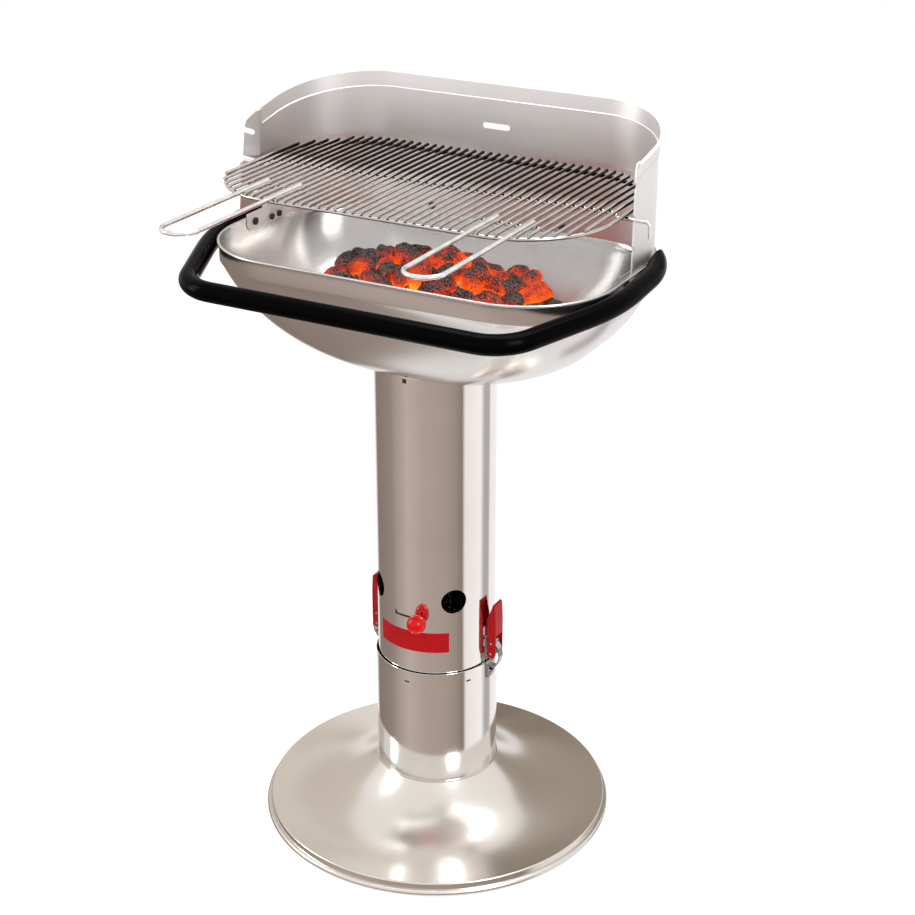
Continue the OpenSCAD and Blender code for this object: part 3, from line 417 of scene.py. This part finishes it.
def plated(name, code, roughness, shade_span=None):
    """Plated steel; shade_span is where along Y the painted shade spreads from the wires' undersides up
    their sides.
    """
    material, tree = new_material(name)
    place = add_node(tree, "ShaderNodeTexCoord").outputs["Object"]
    mottle = add_node(tree, "ShaderNodeTexNoise", {"Vector": place, "Scale": MOTTLE_PER_M, "Detail": 4.0})
    colour = blend(tree, fade(tree, mottle, *SWING), darker(code, 0.2), linear(code))
    rough = fade(tree, mottle, *SWING, roughness, roughness * 1.5)
    # painted shade: the wires' sides and undersides darken, over more of each wire towards the back, and so
    # do the bars' back tips
    if shade_span is not None:
        back = add_node(tree, "ShaderNodeSeparateXYZ", (place,)).outputs["Y"]
        looks = add_node(tree, "ShaderNodeNewGeometry").outputs["Normal"]
        up = add_node(tree, "ShaderNodeSeparateXYZ", (looks,)).outputs["Z"]
        limit = fade(tree, back, *shade_span, FRONT_SHADE_LIMIT, BACK_SHADE_LIMIT)
        under = add_node(tree, "ShaderNodeMath", (limit, up), operation="SUBTRACT")
        dark = fade(tree, under, -SHADE_EDGE, SHADE_EDGE)
        tips = fade(tree, back, *BAR_TIPS)
        dark = add_node(tree, "ShaderNodeMath", (dark, tips), operation="MAXIMUM")
        colour = blend(tree, dark, colour, linear(PAINTED_SHADE_COLOUR))
        dull = fade(tree, dark, 0.0, 1.0, 0.0, SHADE_ROUGHER)
        rough = add_node(tree, "ShaderNodeMath", (rough, dull), operation="ADD")
    metal = add_node(
        tree, "ShaderNodeBsdfPrincipled", {"Base Color": colour, "Metallic": 1.0, "Roughness": rough}
    )
    add_node(tree, "ShaderNodeOutputMaterial", {"Surface": metal})
    return material


# the grid's wires get painted shade on their sides and undersides
grid_plating = plated("chrome_plated_wire", "#cfc9c5", 0.16, shade_span=(-0.05, 0.02))
handle_plating = plated("chrome_plated_bright_wire", "#f4f1ef", 0.12)
clamp_plating = plated("nickel_plated_strap", "#c4c1bf", 0.16)
zinc_plating = plated("zinc_plated_steel", "#a8a8a9", 0.35)
dark_steel = plated("heat_darkened_steel", "#55504d", 0.45)
print("plated:", [m.name for m in (grid_plating, handle_plating, clamp_plating, zinc_plating, dark_steel)])

# %% [markdown]
# ## Dressing the CAD nodes
# Most CAD solids already have the right shape and only need their finish.
# They could be rebuilt in Blender, but then two models would have to be kept
# alike. Each node has one material slot, which takes the material. Only the
# coals take none here: a piece further down stands in for them.

# %% Finishes by node
CLAMP_PARTS = [
    f"{part}_{side}"
    for part in ("clamp_bracket", "clamp_pin", "hook_pin", "clamp_hook", "catch_plate")
    for side in ("right", "left")
]
FINISHES = (
    (column_steel, ("ash_bucket", "chimney_tube")),
    (foot_steel, ("base_foot",)),
    (bowl_steel, ("fire_bowl",)),
    (shield_steel, ("windshield",)),
    (handle_enamel, ("side_handle",)),
    (label_enamel, ("label_plate",)),
    (ball_plastic, ("regulator_knob",)),
    (lever_paint, ("clamp_lever_right", "clamp_lever_left")),
    (clamp_plating, ("regulator_stem", *CLAMP_PARTS)),
    (grid_plating, ("grid_bars", "grid_frame")),
    (handle_plating, ("grid_cross_wires", "grid_handle_left", "grid_handle_right")),
    (zinc_plating, ("foot_bolts",)),
    (dark_steel, ("air_sleeve", "bowl_collar", "windshield_bolts", "handle_brackets", "handle_screws")),
    (dark_steel, ("fuel_grate", "fuel_grate_bars")),
)
for finish, names in FINISHES:
    for name in names:
        slots = nodes[name].data.materials
        slots.clear()
        slots.append(finish)
print("nodes dressed:", sum(len(names) for finish, names in FINISHES), "of", len(nodes))

# %% [markdown]
# ## Glowing charcoal
# Charcoal lumps are broken and cracked. The side that faces the air is grey
# with ash, and the gaps between the lumps glow orange. The glow could be a
# lamp under the heap, but then the lumps would look lit, not hot. Here the
# surface itself shines: each point carries its heat, noise adds patches and
# grains to it, and a ramp turns the heat into black, red, orange and yellow.

# %% Charcoal material
PATCHES_PER_M, PATCH_HEAT = 38.0, 0.22
GRAINS_PER_M, GRAIN_HEAT = 520.0, 0.16
EMBER_GLOW = 0.85
EMBER_STOPS = (
    (0.2, "#000000"), (0.36, "#5e1206"), (0.5, "#c92e08"),
    (0.66, "#fb560e"), (0.85, "#ff8a1c"), (1.0, "#ffd25a"),
)
charcoal_glow, tree = new_material("lumpwood_charcoal_glowing")
place = add_node(tree, "ShaderNodeTexCoord").outputs["Object"]
heat = add_node(tree, "ShaderNodeAttribute", attribute_name="ember").outputs["Fac"]
patches = add_node(
    tree, "ShaderNodeTexNoise", {"Vector": place, "Scale": PATCHES_PER_M, "Detail": 5.0, "Roughness": 0.6}
)
grains = add_node(tree, "ShaderNodeTexNoise", {"Vector": place, "Scale": GRAINS_PER_M, "Detail": 3.0})
for pattern, swing in ((patches, PATCH_HEAT), (grains, GRAIN_HEAT)):
    extra = fade(tree, pattern, *SWING, -swing, swing)
    heat = add_node(tree, "ShaderNodeMath", (heat, extra), operation="ADD")
ash = blend(tree, fade(tree, grains, 0.4, 0.7), linear("#1d1816"), linear("#857a74"))
colour = blend(tree, fade(tree, heat, *SWING), ash, linear("#8a2410"))
flame = add_node(tree, "ShaderNodeValToRGB", (heat,))
paint_ramp(flame.color_ramp, EMBER_STOPS)
bump = add_node(tree, "ShaderNodeBump", {"Height": grains, "Strength": 0.6, "Distance": 0.002})
coal = add_node(
    tree, "ShaderNodeBsdfPrincipled",
    {"Base Color": colour, "Roughness": 0.9, "Specular IOR Level": 0.2, "Normal": bump,
     "Emission Color": flame, "Emission Strength": EMBER_GLOW},
)
add_node(tree, "ShaderNodeOutputMaterial", {"Surface": coal})
print("charcoal ramp stops:", len(flame.color_ramp.elements))

# %% [markdown]
# The heap could be one lumpy skin, but then no dark gaps would open between
# the lumps. So each lump is a shell of its own: a sphere of triangles is
# stretched, flat planes cut it as breaks do, and noise pits it. The lumps are
# laid out like the seeds of a sunflower, which fills an oval evenly, and they
# stay inside the box of the CAD heap. Heat is kept with each point: low
# points are hotter than high ones, and the middle is hotter than the edge.

# %% Charcoal lumps


def new_piece(name, shape, body, node, material, sharp):
    """A smooth piece that rides a body and replaces a node; sharp is an angle in degrees."""
    bmesh.ops.remove_doubles(shape, verts=shape.verts, dist=1e-6)
    bmesh.ops.recalc_face_normals(shape, faces=shape.faces)
    for face in shape.faces:
        face.smooth = True
    for edge in shape.edges:
        edge.smooth = edge.is_manifold and edge.calc_face_angle(0.0) < math.radians(sharp)
    piece = to_object(name, shape, material)
    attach(piece, body)
    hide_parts(node)
    return piece


LUMPS, SEED_TURN = 84, math.radians(137.508)
HEAP_WIDE, HEAP_DEEP, SCATTER = 0.9, 0.82, 0.008
CROWN_LOW, CROWN_RISE, CROWN_CURVE, CROWN_SCATTER = 0.044, 0.034, 2.2, 0.01
BREAKS, BREAK_FROM, BREAK_AT = 9, 0.5, 0.74
# how fine each noise is on a lump, and the share of the radius that it moves
PITS = ((2.2, 0.09), (7.0, 0.035))
WARM, WARM_LOW_DOWN, COOL_OUTSIDE = 0.72, 0.42, 0.2
heap_low, heap_high = (Vector(c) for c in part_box("charcoal"))
heap_middle = (heap_low + heap_high) / 2
heap_reach = (heap_high - heap_low) / 2
rng = random.Random(11)


def any_way(low, high):
    """Three random numbers as a vector."""
    return Vector((rng.uniform(low, high), rng.uniform(low, high), rng.uniform(low, high)))


heap = bmesh.new()
heat_of = heap.verts.layers.float.new("ember")
for k in range(LUMPS):
    reach = math.sqrt((k + 0.5) / LUMPS)
    turn = k * SEED_TURN
    x = heap_middle.x + HEAP_WIDE * heap_reach.x * reach * math.cos(turn) + rng.uniform(-SCATTER, SCATTER)
    y = heap_middle.y + HEAP_DEEP * heap_reach.y * reach * math.sin(turn) + rng.uniform(-SCATTER, SCATTER)
    crown = heap_low.z + CROWN_LOW + CROWN_RISE * (1 - reach ** CROWN_CURVE)
    crown += rng.uniform(-CROWN_SCATTER, CROWN_SCATTER)
    size = rng.uniform(0.0165, 0.0225)
    ball = bmesh.ops.create_icosphere(heap, subdivisions=4, radius=1.0)["verts"]
    stretch = Vector((rng.uniform(1.3, 1.8), rng.uniform(0.75, 1.0), rng.uniform(0.6, 0.8))) * size
    seed = any_way(0, 50)
    spin = Matrix.Rotation(rng.uniform(0, math.tau), 4, "Z")
    spin = spin @ Matrix.Rotation(rng.uniform(-0.45, 0.45), 4, "Y")
    spin = spin @ Matrix.Rotation(rng.uniform(0, math.tau), 4, "X")
    flats = [any_way(-1, 1).normalized() for _ in range(BREAKS)]
    warmth = WARM + rng.uniform(-0.2, 0.16)
    for vert in ball:
        way = vert.co.normalized()
        radius = 1.0
        for flat in flats:
            slope = way.dot(flat)
            if slope > BREAK_FROM:
                radius = min(radius, BREAK_AT / slope)
        radius += sum(share * noise.noise(way * fine + seed) for fine, share in PITS)
        vert.co = Matrix.Translation((x, y, crown)) @ spin @ (way * stretch * radius)
        depth = (crown - vert.co.z) / (0.9 * size)
        vert[heat_of] = warmth + WARM_LOW_DOWN * depth - COOL_OUTSIDE * reach
for vert in heap.verts:
    vert.co = [min(max(v, low), high) for v, low, high in zip(vert.co, heap_low, heap_high)]
lumps = new_piece("charcoal_lumps", heap, "fuel_bed", "charcoal", charcoal_glow, sharp=180.0)
print("charcoal lumps:", LUMPS, "faces:", len(lumps.data.polygons))

# %% [markdown]
# ## The bowl, smooth
# The bowl is pressed from one sheet: a rounded oblong at the rim that closes
# down to a round mouth over the column, with a bead rolled along the rim.
# The CAD bowl is a polyhedron, and bright steel would show its facets. A
# subdivision surface would round them, but it would also shrink the rim. The
# rule that shapes the CAD bowl gives closer rings here, down the outside and
# up the inside. One function joins each ring to the next, and all its faces
# start at the same corner.

# %% Bowl
BOWL_HALF_W, BOWL_HALF_D, BOWL_CORNER = 0.278, 0.174, 0.121
BOWL_WALL, MOUTH_R, MOUTH_GAP = 0.0012, 0.0826, 0.0005
BAND_Z, RIM_Z, DISH_H = 0.828, 0.852, 0.133
# how fast the dish closes along its width, its depth and its height
CLOSE_W, CLOSE_D, CLOSE_H = 1.58, 0.78, 1.86
DISH_STEPS, DISH_END, DISH_EASE, CORNER_STEPS = 30, 0.99, 1.2, 14
BEAD_R, BEAD_OUT, BEAD_STEPS = 0.00175, 0.00065, 16


def oblong(grow, z, half_w=BOWL_HALF_W, half_d=BOWL_HALF_D, corner=BOWL_CORNER):
    """The points of a rounded rectangle at a height, grown or shrunk all round."""
    half_w, half_d, corner = half_w + grow, half_d + grow, corner + grow
    points = []
    for quarter, (sx, sy) in enumerate(((1, 1), (-1, 1), (-1, -1), (1, -1))):
        for i in range(CORNER_STEPS + 1):
            a = math.radians(90 * quarter + 90 * i / CORNER_STEPS)
            x = sx * (half_w - corner) + corner * math.cos(a)
            y = sy * (half_d - corner) + corner * math.sin(a)
            points.append((x, y, z))
    return points


def dish_ring(s, inset):
    """A ring of the dish; s runs from 0 at the band to 1 at the mouth."""
    return oblong(
        -inset * (1 - s),
        BAND_Z + inset - DISH_H * (1 - (1 - s) ** CLOSE_H),
        BOWL_HALF_W - (BOWL_HALF_W - MOUTH_R) * s ** CLOSE_W,
        BOWL_HALF_D - (BOWL_HALF_D - MOUTH_R) * s ** CLOSE_D,
        BOWL_CORNER - (BOWL_CORNER - MOUTH_R + MOUTH_GAP) * s,
    )


def skin(shape, rings, closed=True):
    """Faces between rings of equal length, and from the last ring back to the first if closed."""
    loops = [[shape.verts.new(point) for point in ring] for ring in rings]
    pairs = zip(loops, loops[1:] + loops[:1]) if closed else zip(loops, loops[1:])
    for one, two in pairs:
        for i in range(len(one)):
            j = (i + 1) % len(one)
            shape.faces.new((one[i], one[j], two[j], two[i]))


stations = [DISH_END * (i / DISH_STEPS) ** DISH_EASE for i in range(DISH_STEPS + 1)]
rings = [oblong(0.0, RIM_Z)] + [dish_ring(s, 0.0) for s in stations]
rings += [dish_ring(s, BOWL_WALL) for s in reversed(stations)] + [oblong(-BOWL_WALL, RIM_Z)]
bead = []
for k in range(BEAD_STEPS):
    a = math.tau * k / BEAD_STEPS
    bead.append(oblong(BEAD_OUT + BEAD_R * math.cos(a), RIM_Z - BEAD_R / 2 + BEAD_R * math.sin(a)))
shape = bmesh.new()
skin(shape, rings)
skin(shape, bead)
bowl = new_piece("fire_bowl_pressed", shape, "stand", "fire_bowl", bowl_steel, sharp=60.0)
print("bowl faces:", len(bowl.data.polygons))

# %% [markdown]
# ## The spun foot
# The foot is spun from one disc: a flared cone that rises to the neck, a
# step down at the edge and a rolled rim. A cone and a ring could be joined,
# but the join would show. Here the foot is spun as on the lathe: one closed
# outline goes once round the column. Bright metal needs many steps, or the
# mirror images ripple.

# %% Foot
NECK_R, DISC_R, EDGE_H, FOOT_H, FOOT_WALL = 0.0843, 0.245, 0.018, 0.078, 0.0015
HOLE_R, NECK_TOP_R, INNER_EDGE_H = 0.05, 0.0875, 0.009
ROLL_R, ROLL_AT_R, ROLL_AT_Z = 0.0045, 0.2465, 0.0042
ROUNDING, FLARE_CURVE, FLARE_STEPS, FOOT_STEPS = 0.002, 2.6, 72, 160


def flare(lift):
    """The cone from its edge to the neck, as (radius, height)."""
    shoulder = DISC_R - ROUNDING
    base = EDGE_H - FOOT_WALL + lift
    steps = [i / FLARE_STEPS for i in range(FLARE_STEPS + 1)]
    return [(shoulder - (shoulder - NECK_R) * t, base + (FOOT_H - EDGE_H) * t ** FLARE_CURVE) for t in steps]


def arc(at_r, at_z, radius, degrees):
    """Points on a circle in the outline, kept above the floor."""
    turns = [math.radians(d) for d in degrees]
    return [(at_r + radius * math.cos(a), max(at_z + radius * math.sin(a), 0.0)) for a in turns]


outline = [(HOLE_R, FOOT_H - FOOT_WALL), (HOLE_R, FOOT_H)]
outline += [(NECK_TOP_R, FOOT_H), (NECK_TOP_R, FOOT_H - FOOT_WALL)]
outline += flare(FOOT_WALL)[::-1][1:]
outline += arc(DISC_R - ROUNDING, EDGE_H - ROUNDING, ROUNDING, range(75, -1, -15))
outline += arc(ROLL_AT_R, ROLL_AT_Z, ROLL_R, range(100, -171, -15))
outline.append((DISC_R - FOOT_WALL, INNER_EDGE_H))
outline += flare(0.0)[:-1]
shape = bmesh.new()
points = [shape.verts.new((r, 0.0, z)) for r, z in outline]
edges = [shape.edges.new(pair) for pair in zip(points, points[1:] + points[:1])]
bmesh.ops.spin(
    shape, geom=points + edges, cent=(0, 0, 0), axis=(0, 0, 1),
    angle=math.tau, steps=FOOT_STEPS, use_merge=True,
)
foot = new_piece("base_foot_spun", shape, "stand", "base_foot", foot_steel, sharp=40.0)
print("foot faces:", len(foot.data.polygons))

# %% [markdown]
# ## The windshield with its joggle
# A line runs round the windshield just under its top edge. There the sheet is
# pressed outwards by a little over a millimetre, which stiffens it. A bump in
# the material would only shade the line, and its edge would stay straight.
# So the CAD mesh is copied and merged, cut along two sloping planes, and its
# points above them are set out. Two upright cuts end the joggle at the front.

# %% Windshield
SHIELD_TOP, SHIELD_BACK, SHIELD_HALF_W, SHIELD_CORNER = 1.025, 0.17255, 0.27655, 0.11955
SLOPE, LINE_DROP, LEDGE, SET_OUT, LEAN = math.radians(11.4), 0.020, 0.0009, 0.0011, 0.05
JOGGLE_FROM, JOGGLE_FULL = 0.017, 0.019
SHEET_REACH, ON_LINE = 0.0018, 1e-5


def below_edge(point):
    """How far a point lies below the sloping top edge."""
    return (SHIELD_TOP - point.z) * math.cos(SLOPE) - (SHIELD_BACK - point.y) * math.sin(SLOPE)


def outwards(point):
    """The way out of the U at a point, and the distance to its outer face."""
    core = Vector((SHIELD_HALF_W - SHIELD_CORNER, SHIELD_BACK - SHIELD_CORNER, 0.0))
    over = Vector((max(abs(point.x) - core.x, 0.0), max(point.y - core.y, 0.0), 0.0))
    if over.length < 1e-6:
        return Vector((0.0, 0.0, 0.0)), 1.0
    way = over.normalized()
    return Vector((way.x * math.copysign(1.0, point.x), way.y, 0.0)), SHIELD_CORNER - over.length


source = nodes["windshield"]
shape = bmesh.new()
shape.from_mesh(source.data)
bmesh.ops.transform(shape, matrix=source.matrix_world, verts=shape.verts)
bmesh.ops.remove_doubles(shape, verts=shape.verts, dist=1e-6)
sloping = Vector((0.0, -math.sin(SLOPE), math.cos(SLOPE)))
edge_point = Vector((0.0, SHIELD_BACK, SHIELD_TOP))
cuts = [(edge_point - sloping * drop, sloping) for drop in (LINE_DROP, LINE_DROP - LEDGE)]
cuts += [(Vector((0.0, y, 0.0)), Vector((0.0, 1.0, 0.0))) for y in (JOGGLE_FROM, JOGGLE_FULL)]
for at, normal in cuts:
    everything = shape.verts[:] + shape.edges[:] + shape.faces[:]
    bmesh.ops.bisect_plane(shape, geom=everything, plane_co=at, plane_no=normal)
moved = 0
for vert in shape.verts:
    above = LINE_DROP - below_edge(vert.co)
    way, room = outwards(vert.co)
    if above < ON_LINE or abs(room) > SHEET_REACH:
        continue
    from_front = (vert.co.y - JOGGLE_FROM) / (JOGGLE_FULL - JOGGLE_FROM)
    share = min(above / LEDGE, 1.0) * min(max(from_front, 0.0), 1.0)
    vert.co += way * share * (SET_OUT + LEAN * max(above - LEDGE, 0.0))
    moved += 1
shield = new_piece("windshield_sheet", shape, "stand", "windshield", shield_steel, sharp=30.0)
print("windshield faces:", len(shield.data.polygons), "points set out:", moved)

# %% [markdown]
# ## The side handle
# The handle is one steel tube, bent in one plane that rises to the back. Its
# ends turn in and are cut flat where they meet the bowl. A curve with a
# round profile would do, but its bends would take handles placed by hand.
# Here the line is walked as a bender makes it, straight or turning left. A
# ring of points stands at each station, and they are joined as the bowl's.

# %% Handle
HANDLE_R, HANDLE_SIDES, HANDLE_CORNER, HANDLE_SPLAY = 0.0131, 32, 0.0606, math.radians(22.6)
HANDLE_ARM, HANDLE_SIDE, FRONT_IN = 0.0894, 0.043, 0.0501
SIDE_BEND, END_BEND, END_TURN = 0.242, 0.127, math.radians(60)
HANDLE_Y, HANDLE_Z, HANDLE_TILT = 0.2422, 0.8277, math.radians(4.2)
BEAD_GAP, END_FROM_Y = 0.0002, 0.03
HANDLE_FACE = BOWL_HALF_W + BEAD_OUT + BEAD_R + BEAD_GAP


def walk(at, run):
    """A straight step from a place and heading."""
    x, y, heading = at
    return (x + run * math.cos(heading), y + run * math.sin(heading), heading)


def turn_left(at, radius, sweep, count):
    """The stations of a bend to the left."""
    x, y, heading = at
    centre_x, centre_y = x - radius * math.sin(heading), y + radius * math.cos(heading)
    angles = [heading + sweep * k / count for k in range(1, count + 1)]
    return [(centre_x + radius * math.sin(a), centre_y - radius * math.cos(a), a) for a in angles]


corner_turn = math.pi / 2 - HANDLE_SPLAY
half = [(BOWL_HALF_W - FRONT_IN - HANDLE_CORNER * math.tan(corner_turn / 2), 0.0, 0.0)]
half += turn_left(half[-1], HANDLE_CORNER, corner_turn, 20)
half.append(walk(half[-1], HANDLE_ARM))
half += turn_left(half[-1], SIDE_BEND, HANDLE_SPLAY, 10)
half.append(walk(half[-1], HANDLE_SIDE))
half += turn_left(half[-1], END_BEND, END_TURN, 18)
line = [(-x, y, -a) for x, y, a in reversed(half)] + half
tilt = Matrix.Translation((0, -HANDLE_Y, HANDLE_Z)) @ Matrix.Rotation(HANDLE_TILT, 4, "X")
round_angles = [math.tau * k / HANDLE_SIDES for k in range(HANDLE_SIDES)]
circle = [(HANDLE_R * math.cos(a), HANDLE_R * math.sin(a)) for a in round_angles]
rings = []
for x, y, a in line:
    ring = [tilt @ Vector((x - side * math.sin(a), y + side * math.cos(a), up)) for side, up in circle]
    rings.append(ring)
shape = bmesh.new()
skin(shape, rings, closed=False)
for side in (1, -1):
    middles = [(face, face.calc_center_median()) for face in shape.faces]
    end = [face for face, middle in middles if middle.y > END_FROM_Y and middle.x * side > 0]
    parts = list({e for f in end for e in f.edges} | {v for f in end for v in f.verts}) + end
    bmesh.ops.bisect_plane(
        shape, geom=parts, plane_co=(side * HANDLE_FACE, 0, 0), plane_no=(side, 0, 0), clear_inner=True
    )
    rim = [e for e in shape.edges if e.is_boundary and e.verts[0].co.x * side > 0]
    bmesh.ops.holes_fill(shape, edges=rim, sides=0)
open_edges = sum(1 for e in shape.edges if e.is_boundary)
handle = new_piece("side_handle_tube", shape, "stand", "side_handle", handle_enamel, sharp=50.0)
print("handle faces:", len(handle.data.polygons), "open edges:", open_edges)
